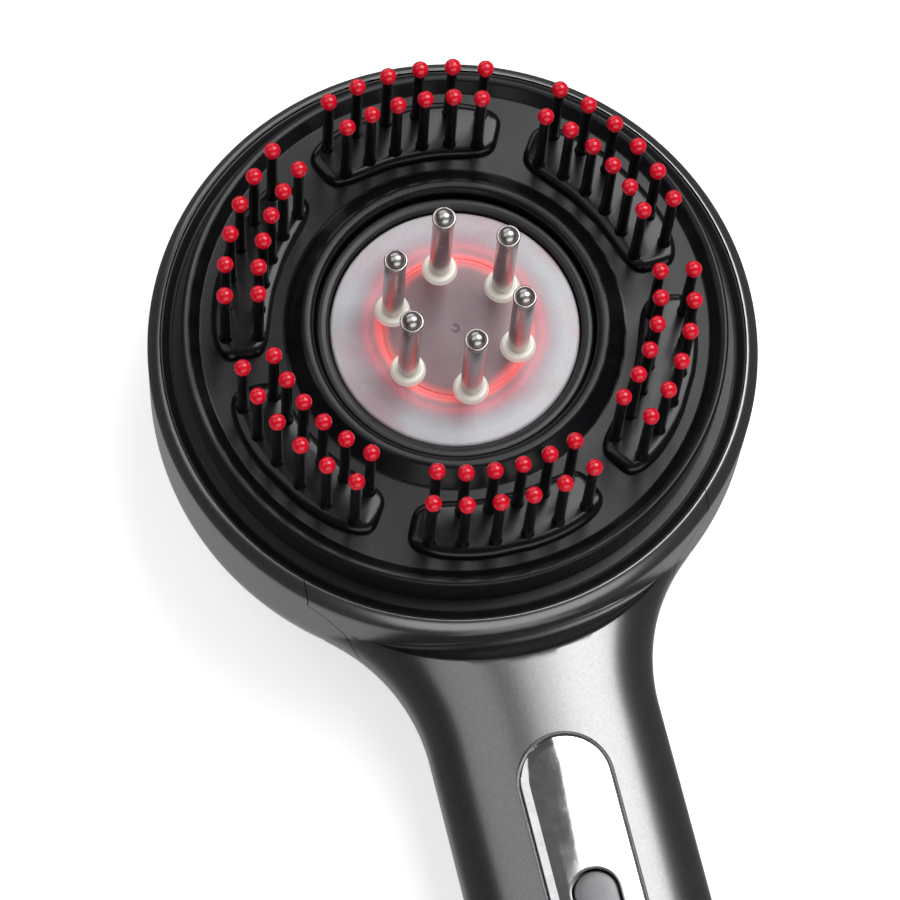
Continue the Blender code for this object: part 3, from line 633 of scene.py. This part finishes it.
def housing_shell():
    """Outer skin of the head and the handle together, before it is parted into two covers."""
    wide, deep = RIM_ROUND
    rim = [(0, RIM_Z)]
    for degrees in range(0, 91, 6):
        turn = math.radians(degrees)
        out = math.sin(turn) ** RIM_FLATNESS
        up = math.cos(turn) ** RIM_FLATNESS
        rim.append((HEAD_R - wide * (1 - out), RIM_Z - deep * (1 - up)))
    wall = [(HEAD_R, z) for z in (26, 24, 22, 20, 18, 16)]
    shell = lathe("housing_shell", rim + wall + drum_profile(HEAD_R, 0, BACK_ROUND), 240)
    cut(shell, handle_solid("handle_solid", 0, -30, 120), "UNION")
    cut(shell, valley())
    inside = [(0, FACE_Z), (BEZEL_R + SEAM, FACE_Z), (BEZEL_R + SEAM, BEZEL_SEAT_Z)]
    inside.append((HEAD_R - WALL, BEZEL_SEAT_Z))
    inside += drum_profile(HEAD_R - WALL, WALL, BACK_ROUND - WALL)
    cut(shell, lathe("head_cavity", inside, 120))
    cut(shell, handle_solid("handle_cavity", WALL, -53, 40))
    cut(shell, box("wire_passage", *WIRE_PASSAGE))
    return shell


def cover_region(margin):
    """The space that the handle's front cover fills, moved by margin on the parting faces."""
    right = [(COVER_FLOOR_HALF_WIDTH + margin, PARTING_Z - margin)]
    right += [(x + margin, z - margin) for x, z in COVER_SIDE]
    outline = right + [(-x, z) for x, z in reversed(right)]
    return skin("cover_region", [[(x, y, z) for x, z in outline] for y in (-190, -26)])


def screw_hole(name):
    x, y, lift = SCREW_PLACES[name]
    top = lift + SCREW_SINK + SCREW_LENGTH + 2.0
    seat = lift + SCREW_SEAT
    profile = [(0, top), (SCREW_HOLE_R, top), (SCREW_HOLE_R, seat), (SCREW_HEAD_HOLE_R, seat),
               (SCREW_HEAD_HOLE_R, lift - 3), (0, lift - 3)]
    return lathe(name + "_hole", profile, 40, (x, y))


def housings(looks):
    shell = housing_shell()
    front = link(bpy.data.objects.new("front_shell", shell.data.copy()))
    cut(front, cover_region(-SEAM / 2), "INTERSECT")
    straight = INLAY_Y[1] - INLAY_Y[0] - 2 * INLAY_HALF_WIDTH
    middle = sum(INLAY_Y) / 2
    pocket = pill(straight, INLAY_HALF_WIDTH + GAP, middle)
    cut(front, prism("inlay_pocket", pocket, (INLAY_Z[0] - GAP, 30)))
    hole = pill(BUTTON_STRAIGHT, BUTTON_HALF_WIDTH + GAP, BUTTON_Y)
    cut(front, prism("button_hole", hole, (18, 30)))
    for name in SCREW_PLACES:
        cut(shell, screw_hole(name))
    cut(shell, cover_region(SEAM / 2))
    for name, (wide, high), inner_y in (("port_opening", PORT_HALF, -160),
                                        ("plug_pocket", PLUG_POCKET_HALF, PLUG_Y[1] + 0.1)):
        cut(shell, box(name, (-wide, wide), (-170, inner_y), (PORT_Z - high, PORT_Z + high)))
    shell.name = "rear_shell"
    for piece, node in ((shell, "rear_housing"), (front, "front_housing")):
        weld(piece)
        smooth(piece, 30)
        finish_piece(piece, "housing", looks["gunmetal"], "gunmetal", node)


# ---------------------------------------------------------------- face of the head

def face_rings(looks):
    top = MEMBRANE_FOOT_Z - GAP
    flange = BEZEL_SEAT_Z + 0.1
    bezel = soften([(37.4, top, 0), (40.75, top - 0.15, 0.15), (40.95, top - 0.3, 0.1),
                    (41.3, top - 0.2, 0.6), (42.2, top + 0.4, 1.2), (BEZEL_R, top + 0.45, 0.1),
                    (BEZEL_R, flange, 0.1), (41.8, flange, 0), (41.8, 23.1, 0.1),
                    (40.3, 23.1, 0.1), (37.4, 27.0, 0.1)])
    piece = smooth(lathe("bezel", bezel, 240))
    finish_piece(piece, "housing", looks["black"], "black_plastic", "face_bezel")
    socket = soften([(18.3, 34.2, 0.15), (18.6, 34.55, 0.2), (19.2, 34.7, 0.6), (19.8, 34.65, 0.3),
                     (20.1, 34.2, 0.2), (20.1, 23.1, 0.1), (18.3, 23.1, 0.1), (18.3, 28.6, 0),
                     (15.6, 28.6, 0.1), (15.6, 29.9, 0.1), (18.3, 29.9, 0)])
    piece = smooth(lathe("socket_ring", socket, 180))
    finish_piece(piece, "housing", looks["socket"], "black_plastic", "cartridge_socket")


def kidney(mid_radius, half_depth, half_angle, count=96, power=4.0):
    """Outline of a rounded block bent around the head's axis, centred on +X."""
    points = []
    for step in range(count):
        angle = math.tau * (step + 0.5) / count
        c, s = math.cos(angle), math.sin(angle)
        radius = mid_radius + half_depth * math.copysign(abs(c) ** (2 / power), c)
        swing = half_angle * math.copysign(abs(s) ** (2 / power), s)
        points.append((radius * math.cos(swing), radius * math.sin(swing)))
    return points


def membrane(looks):
    """Silicone cap with a raised rib around each edge and windows for the pads' stems."""
    underside = MEMBRANE_Z - 1.2
    profile = soften([
        (36.8, MEMBRANE_Z, 0.45), (38.2, OUTER_RIB_Z - 0.1, 1.0),
        (OUTER_EDGE_R, OUTER_RIB_Z + 0.1, 0.8), (OUTER_EDGE_R, MEMBRANE_FOOT_Z, 0.2),
        (38.1, MEMBRANE_FOOT_Z, 0.1), (38.1, underside, 0.3),
        (INNER_EDGE_R, underside, 0.1), (INNER_EDGE_R, INNER_RIB_Z, 0.9),
        (22.1, INNER_RIB_Z + 0.05, 1.1), (24.5, MEMBRANE_Z, 0.9),
    ], steps=8)
    piece = lathe("membrane", profile, 240)
    depth = STEM_HALF_DEPTH + PAD_TRAVEL + 1.5 * GAP
    for index in range(PAD_COUNT):
        outline = kidney(PAD_MID_R, depth, STEM_HALF_ANGLE + WINDOW_EXTRA_ANGLE, 40)
        window = prism("window", outline, (MEMBRANE_Z - 3, MEMBRANE_Z + 3))
        window.rotation_euler.z = FIRST_AZIMUTH + PAD_STEP * index
        cut(piece, window)
    weld(piece)
    smooth(piece, 30)
    finish_piece(piece, "housing", looks["silicone"], "black_silicone", "face_membrane")


def bristle_places():
    for radius in BRISTLE_ROWS_R:
        for step in range(BRISTLES_PER_ROW):
            angle = BRISTLE_PITCH * (step - (BRISTLES_PER_ROW - 1) / 2)
            yield radius * math.cos(angle), radius * math.sin(angle)


def pad_meshes():
    """The block with its stem, the twelve shafts and the twelve tips of one pad."""
    outline = kidney(PAD_MID_R, PAD_HALF_DEPTH, PAD_HALF_ANGLE)
    floor = MEMBRANE_Z + 0.05
    levels = [(0.1, floor), (0.0, floor + 0.1), (0.03, floor + 0.45), (0.12, floor + 0.75),
              (0.34, floor + 1.05), (0.75, floor + 1.28), (1.15, PAD_TOP_Z - 0.05),
              (1.5, PAD_TOP_Z)]
    block = stack("pad_block", outline, levels)
    stem = stack("pad_stem", kidney(PAD_MID_R, STEM_HALF_DEPTH, STEM_HALF_ANGLE, 40),
                 [(0.2, STEM_BOTTOM_Z), (0.0, STEM_BOTTOM_Z + 0.2), (0.0, MEMBRANE_Z + 0.6)])
    block = join("pad_block", [block, stem])
    tip_top = BRISTLE_END_Z
    neck = tip_top - 2.55
    shaft = [(0, neck + 0.4), (0.7, neck + 0.3), (0.74, neck - 2), (0.84, PAD_TOP_Z + 0.9),
             (0.88, PAD_TOP_Z + 0.3), (1.02, PAD_TOP_Z + 0.02), (1.02, PAD_TOP_Z - 0.3),
             (0, PAD_TOP_Z - 0.3)]
    tip = [(0, tip_top)]
    for degrees in range(75, -75, -15):
        angle = math.radians(degrees)
        swell = 1.0 if degrees > 0 else 1.06
        tip.append((BRISTLE_TIP_R * math.cos(angle),
                    tip_top - BRISTLE_TIP_R * (1 - swell * math.sin(angle))))
    tip += [(0.76, neck - 0.05), (0, neck - 0.05)]
    shafts = [smooth(lathe("shaft", shaft, 16, place), 60) for place in bristle_places()]
    tips = [smooth(lathe("tip", tip, 20, place), 60) for place in bristle_places()]
    return block, join("shafts", shafts), join("tips", tips)


def pads(looks):
    block, shafts, tips = pad_meshes()
    for index in range(PAD_COUNT):
        number = index + 1
        for source, name, look in ((block, "pad_block", "pad"), (shafts, "bristles", "pad"),
                                   (tips, "tips", "tip")):
            piece = link(bpy.data.objects.new(f"{name}_{number}", source.data))
            piece.rotation_euler.z = FIRST_AZIMUTH + PAD_STEP * index
            replaced = [f"pad_{number}"] if name == "pad_block" else []
            finish_piece(piece, f"pad_unit_{number}", looks[look], "black_silicone", *replaced)
    for source in (block, shafts, tips):
        bpy.data.objects.remove(source, do_unlink=True)


# ---------------------------------------------------------------- oil cartridge

def pin_places():
    angles = [FIRST_AZIMUTH + PAD_STEP * index for index in range(PAD_COUNT)]
    return [(PIN_CIRCLE_R * math.cos(a), PIN_CIRCLE_R * math.sin(a)) for a in angles]


def disc(looks):
    profile = soften([(0, FACE_Z - 0.14, 0), (0.3, FACE_Z - 0.14, 0.2), (0.7, FACE_Z, 0.4),
                      (10.2, FACE_Z, 0.4), (10.35, FACE_Z - 0.12, 0.1), (10.7, FACE_Z - 0.12, 0.1),
                      (10.85, FACE_Z, 0.2), (DISC_R, FACE_Z, 0.5), (DISC_R, FACE_Z - 2.0, 0.2),
                      (0, FACE_Z - 2.0, 0)], closed=False)
    piece = smooth(lathe("disc", profile, 180))
    finish_piece(piece, "cartridge", looks["frosted"], "frosted_disc", "applicator_disc")
    collar = soften([(0, 34.85, 0), (1.65, 34.85, 0.1), (1.9, 35.0, 0.3), (2.35, 34.9, 0.35),
                     (COLLAR_R + 0.05, 34.3, 0.4), (2.6, 33.98, 0.1), (2.6, 33.6, 0),
                     (0, 33.6, 0)], closed=False)
    collars = [smooth(lathe("collar", collar, 48, place)) for place in pin_places()]
    finish_piece(join("collars", collars), "cartridge", looks["collar"], "frosted_disc")


def pins(looks):
    lip_z = PIN_BALL_Z + 0.15
    tube = soften([(0, 34.8, 0), (PIN_R, 34.8, 0.1), (PIN_R, lip_z - 1.25, 0.1),
                   (PIN_R - 0.07, lip_z - 1.15, 0.05), (PIN_R - 0.07, lip_z - 1.0, 0.05),
                   (1.68, lip_z - 0.75, 0.25), (1.7, lip_z, 0.22), (1.4, lip_z + 0.05, 0.1),
                   (1.37, lip_z - 0.5, 0.1), (1.37, lip_z - 2.1, 0), (0, lip_z - 2.1, 0)],
                  closed=False)
    ball = [(0, PIN_BALL_Z - PIN_BALL_R)]
    ball += arc((0, PIN_BALL_Z), PIN_BALL_R, -82.5, 82.5, 22) + [(0, PIN_BALL_Z + PIN_BALL_R)]
    for index, place in enumerate(pin_places()):
        number = index + 1
        piece = smooth(lathe(f"tube_{number}", tube, 64, place), 40)
        finish_piece(piece, "cartridge", looks["steel"], "polished_steel", f"pin_tube_{number}")
        piece = smooth(lathe(f"roller_{number}", ball, 40, place), 60)
        finish_piece(piece, f"ball_{number}", looks["ball"], "chrome", f"pin_ball_{number}")


# ---------------------------------------------------------------- controls, port and screws

def controls(looks):
    straight = INLAY_Y[1] - INLAY_Y[0] - 2 * INLAY_HALF_WIDTH
    middle = sum(INLAY_Y) / 2
    top = INLAY_Z[1]
    rim = inset(pill(straight, INLAY_HALF_WIDTH, middle, 48), -GAP - 0.3)
    rows = []
    for depth, rise in ((-0.05, -0.1), (0.05, 0.03), (0.16, 0.07), (0.27, 0.0), (0.3, -0.15),
                        (0.3, -0.7), (-0.05, -0.7)):
        rows.append([(x, y, front_height(x, y) + rise) for x, y in inset(rim, depth)])
    edge = smooth(skin("inlay_edge", rows, closed=True), 25)
    finish_piece(edge, "housing", looks["gunmetal"], "gunmetal")
    strip = pill(straight, INLAY_HALF_WIDTH, middle, 48)
    levels = [(0.1, INLAY_Z[0]), (0.0, INLAY_Z[0] + 0.1), (0.0, top - 0.35), (0.08, top - 0.25),
              (0.18, top - 0.2), (1.2, top), (1.3, top + 0.01)]
    piece = stack("inlay", strip, levels)
    hole = pill(BUTTON_STRAIGHT, BUTTON_HALF_WIDTH + BUTTON_HOLE_GAP, BUTTON_Y)
    cut(piece, prism("inlay_hole", hole, (20, 30)))
    smooth(piece, 6)
    finish_piece(piece, "housing", looks["chrome"], "chrome", "chrome_inlay")
    outer = pill(BUTTON_STRAIGHT, BUTTON_HALF_WIDTH + BUTTON_RING_WIDTH, BUTTON_Y)
    lip = [(0.0, top - 0.6), (0.0, top + 0.12), (0.06, top + 0.24), (0.2, top + 0.3),
           (0.34, top + 0.24), (0.4, top + 0.12), (0.4, top - 0.6)]
    finish_piece(frame_of("button_rim", outer, lip), "housing", looks["ball"], "chrome",
                 "button_ring")
    cap = pill(BUTTON_STRAIGHT, BUTTON_HALF_WIDTH, BUTTON_Y)
    levels = [(0.0, 21.2), (0.0, top - 0.2), (0.06, top + 0.02), (0.2, top + 0.16),
              (0.5, top + 0.26), (1.1, top + 0.34), (2.0, top + 0.38), (2.7, top + 0.39)]
    finish_piece(stack("button_cap", cap, levels), "power_button", looks["grey"], "grey_plastic",
                 "power_button")


def port_plug(looks):
    """Rounded plug with its tongue and a small pull lip."""
    outline = soften([(-6.1, -3.0, 3.0), (6.1, -3.0, 3.0), (6.1, 3.0, 3.0), (-6.1, 3.0, 3.0)],
                     steps=12)
    levels = [(0.0, 0.0), (0.0, 0.75), (0.12, 1.05), (0.4, 1.25), (0.8, 1.3)]
    face = stack("plug_face", outline, levels)
    lip = stack("plug_lip", pill(4.0, 0.6, 0.0, 12),
                [(0.0, 1.0), (0.0, 1.5), (0.15, 1.7), (0.3, 1.72)])
    lip.rotation_euler.z = math.pi / 2
    tongue = box("plug_tongue", (-3.8, 3.8), (-0.9, 0.9), (-3.4, 0.3))
    for part in (face, lip, tongue):
        turn = Matrix.Rotation(math.pi / 2, 4, "X")
        place = Matrix.Translation(Vector((0.0, PLUG_Y[1], PORT_Z)) * MM)
        part.matrix_world = place @ turn @ part.rotation_euler.to_matrix().to_4x4()
    piece = join("plug", [face, lip, tongue])
    finish_piece(piece, "port_plug", looks["silicone"], "black_silicone", "port_plug")


def screws(looks):
    """Self-tapping screws with domed heads, cross recesses and threads."""
    for name, (x, y, lift) in SCREW_PLACES.items():
        low = lift + SCREW_SINK
        high = low + SCREW_LENGTH
        profile = [(0, high), (0.5, high - 0.5), (1.0, high - 1.3)]
        for turn in range(9):
            z = high - 1.5 - turn * 0.85
            profile += [(1.0, z), (1.2, z - 0.2), (1.0, z - 0.4)]
        profile += [(1.0, low + 1.75), (2.35, low + 1.7), (2.5, low + 1.5), (2.45, low + 0.7),
                    (2.1, low + 0.2), (1.5, low), (0, low)]
        screw = lathe(name + "_metal", profile, 36, (x, y))
        for wide, deep in ((1.35, 0.33), (0.33, 1.35)):
            slot = box("recess", (x - wide, x + wide), (y - deep, y + deep), (low - 1, low + 0.9))
            cut(screw, slot)
        finish_piece(smooth(screw, 35), "housing", looks["steel"], "polished_steel", name)


def inner_works(looks):
    """The CAD's own solids inside the shells, with fitting materials."""
    finishes = {
        "acetal": ["scroll_ring", "drive_pinion",
                   *[f"pad_carrier_{i + 1}" for i in range(PAD_COUNT)]],
        "steel": ["gear_motor", "charging_port"],
        "black": ["chassis", "tact_switch"],
        "guide": ["guide_plate"],
        "silicone": ["cartridge_seal"],
        "clear": ["oil_reservoir"],
        "red_light": ["light_guide"],
        "circuit": ["led_board", "main_board"],
        "wrap": ["battery"],
    }
    for look, nodes in finishes.items():
        for name in nodes:
            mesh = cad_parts[name].data
            mesh.materials.clear()
            mesh.materials.append(looks[look])


# ---------------------------------------------------------------- floor, lights and camera

def stage_floor():
    """A pale floor with a glow of its own, which mirrors and gloss do not pick up."""
    bm = bmesh.new()
    bmesh.ops.create_grid(bm, x_segments=1, y_segments=1, size=3.0)
    floor = mesh_object("floor", bm)
    floor.location.z = -0.4 * MM
    look, tree, shader, place = new_look("pale_floor", Roughness=0.9)
    cloud = noise(tree, place, 3.0)
    colours = [(0.3, tone(244, 244, 244)), (0.7, tone(249, 249, 249))]
    tree.links.new(ramp(tree, cloud, colours), shader.inputs["Base Color"])
    shader.inputs["Emission Color"].default_value = tone(255, 255, 255)
    shader.inputs["Emission Strength"].default_value = 0.6
    floor.data.materials.append(look)
    floor.visible_glossy = False


def soft_box(name, place, size, power, tip_up=0.0):
    """A rectangular soft light, in metres, that faces down or is tipped up to face +Y."""
    light = bpy.data.lights.new(name, "AREA")
    light.shape = "RECTANGLE"
    light.size, light.size_y = size
    light.energy = power
    lamp = link(bpy.data.objects.new(name, light))
    lamp.location = place
    lamp.rotation_euler.x = tip_up


def lights():
    """A sky that is bright below and dim above, and four soft boxes."""
    world = bpy.data.worlds.new("studio")
    bpy.context.scene.world = world
    world.use_nodes = True
    tree = world.node_tree
    direction = add(tree, "ShaderNodeTexCoord").outputs["Generated"]
    height = add(tree, "ShaderNodeSeparateXYZ", Vector=direction).outputs["Z"]
    share = add(tree, "ShaderNodeMapRange", Value=height, From_Min=-1.0).outputs["Result"]
    levels = [(0.0, 0.5), (0.06, 0.26), (0.15, 0.1), (0.35, 0.07), (0.5, 0.04), (0.8, 0.04),
              (0.95, 0.1), (1.0, 0.13)]
    sky = ramp(tree, share, [(at, (level, level, level, 1.0)) for at, level in levels])
    tree.links.new(sky, tree.nodes["Background"].inputs["Color"])
    ceiling = 0.9
    soft_box("right_box", (0.6107, 0.25, ceiling), (1.0, 0.7), 10.5)
    soft_box("left_box", (-0.8, 0.25, ceiling), (1.3, 0.7), 2.6)
    soft_box("front_box", (0.1, -1.2, 0.5), (1.6, 0.95), 6.6, math.radians(70))
    soft_box("back_box", (-0.1, 1.3, 0.45), (1.6, 0.7), 4.0, math.radians(-72))


def camera():
    """A long lens that looks down at the head, and the view transform that keeps colours as set."""
    lens = bpy.data.cameras.new("camera")
    lens.lens = 180.0
    lens.sensor_width = 36.0
    lens.clip_start = 0.01
    view = link(bpy.data.objects.new("camera", lens))
    azimuth, elevation, roll = (math.radians(a) for a in (20.02, 70.50, -6.43))
    aim = Vector((-5.2, -17.9, FACE_Z)) * MM
    away = Vector((-math.sin(azimuth) * math.cos(elevation),
                   -math.cos(azimuth) * math.cos(elevation), math.sin(elevation)))
    view.location = aim + away * 0.6417
    upright = (-away).to_track_quat("-Z", "Y").to_matrix().to_4x4()
    view.rotation_euler = (upright @ Matrix.Rotation(roll, 4, "Z").inverted()).to_euler()
    bpy.context.scene.camera = view
    bpy.context.scene.view_settings.view_transform = "Standard"


def main():
    looks = make_looks()
    housings(looks)
    face_rings(looks)
    membrane(looks)
    pads(looks)
    disc(looks)
    pins(looks)
    controls(looks)
    port_plug(looks)
    screws(looks)
    inner_works(looks)
    stage_floor()
    lights()
    camera()


main()
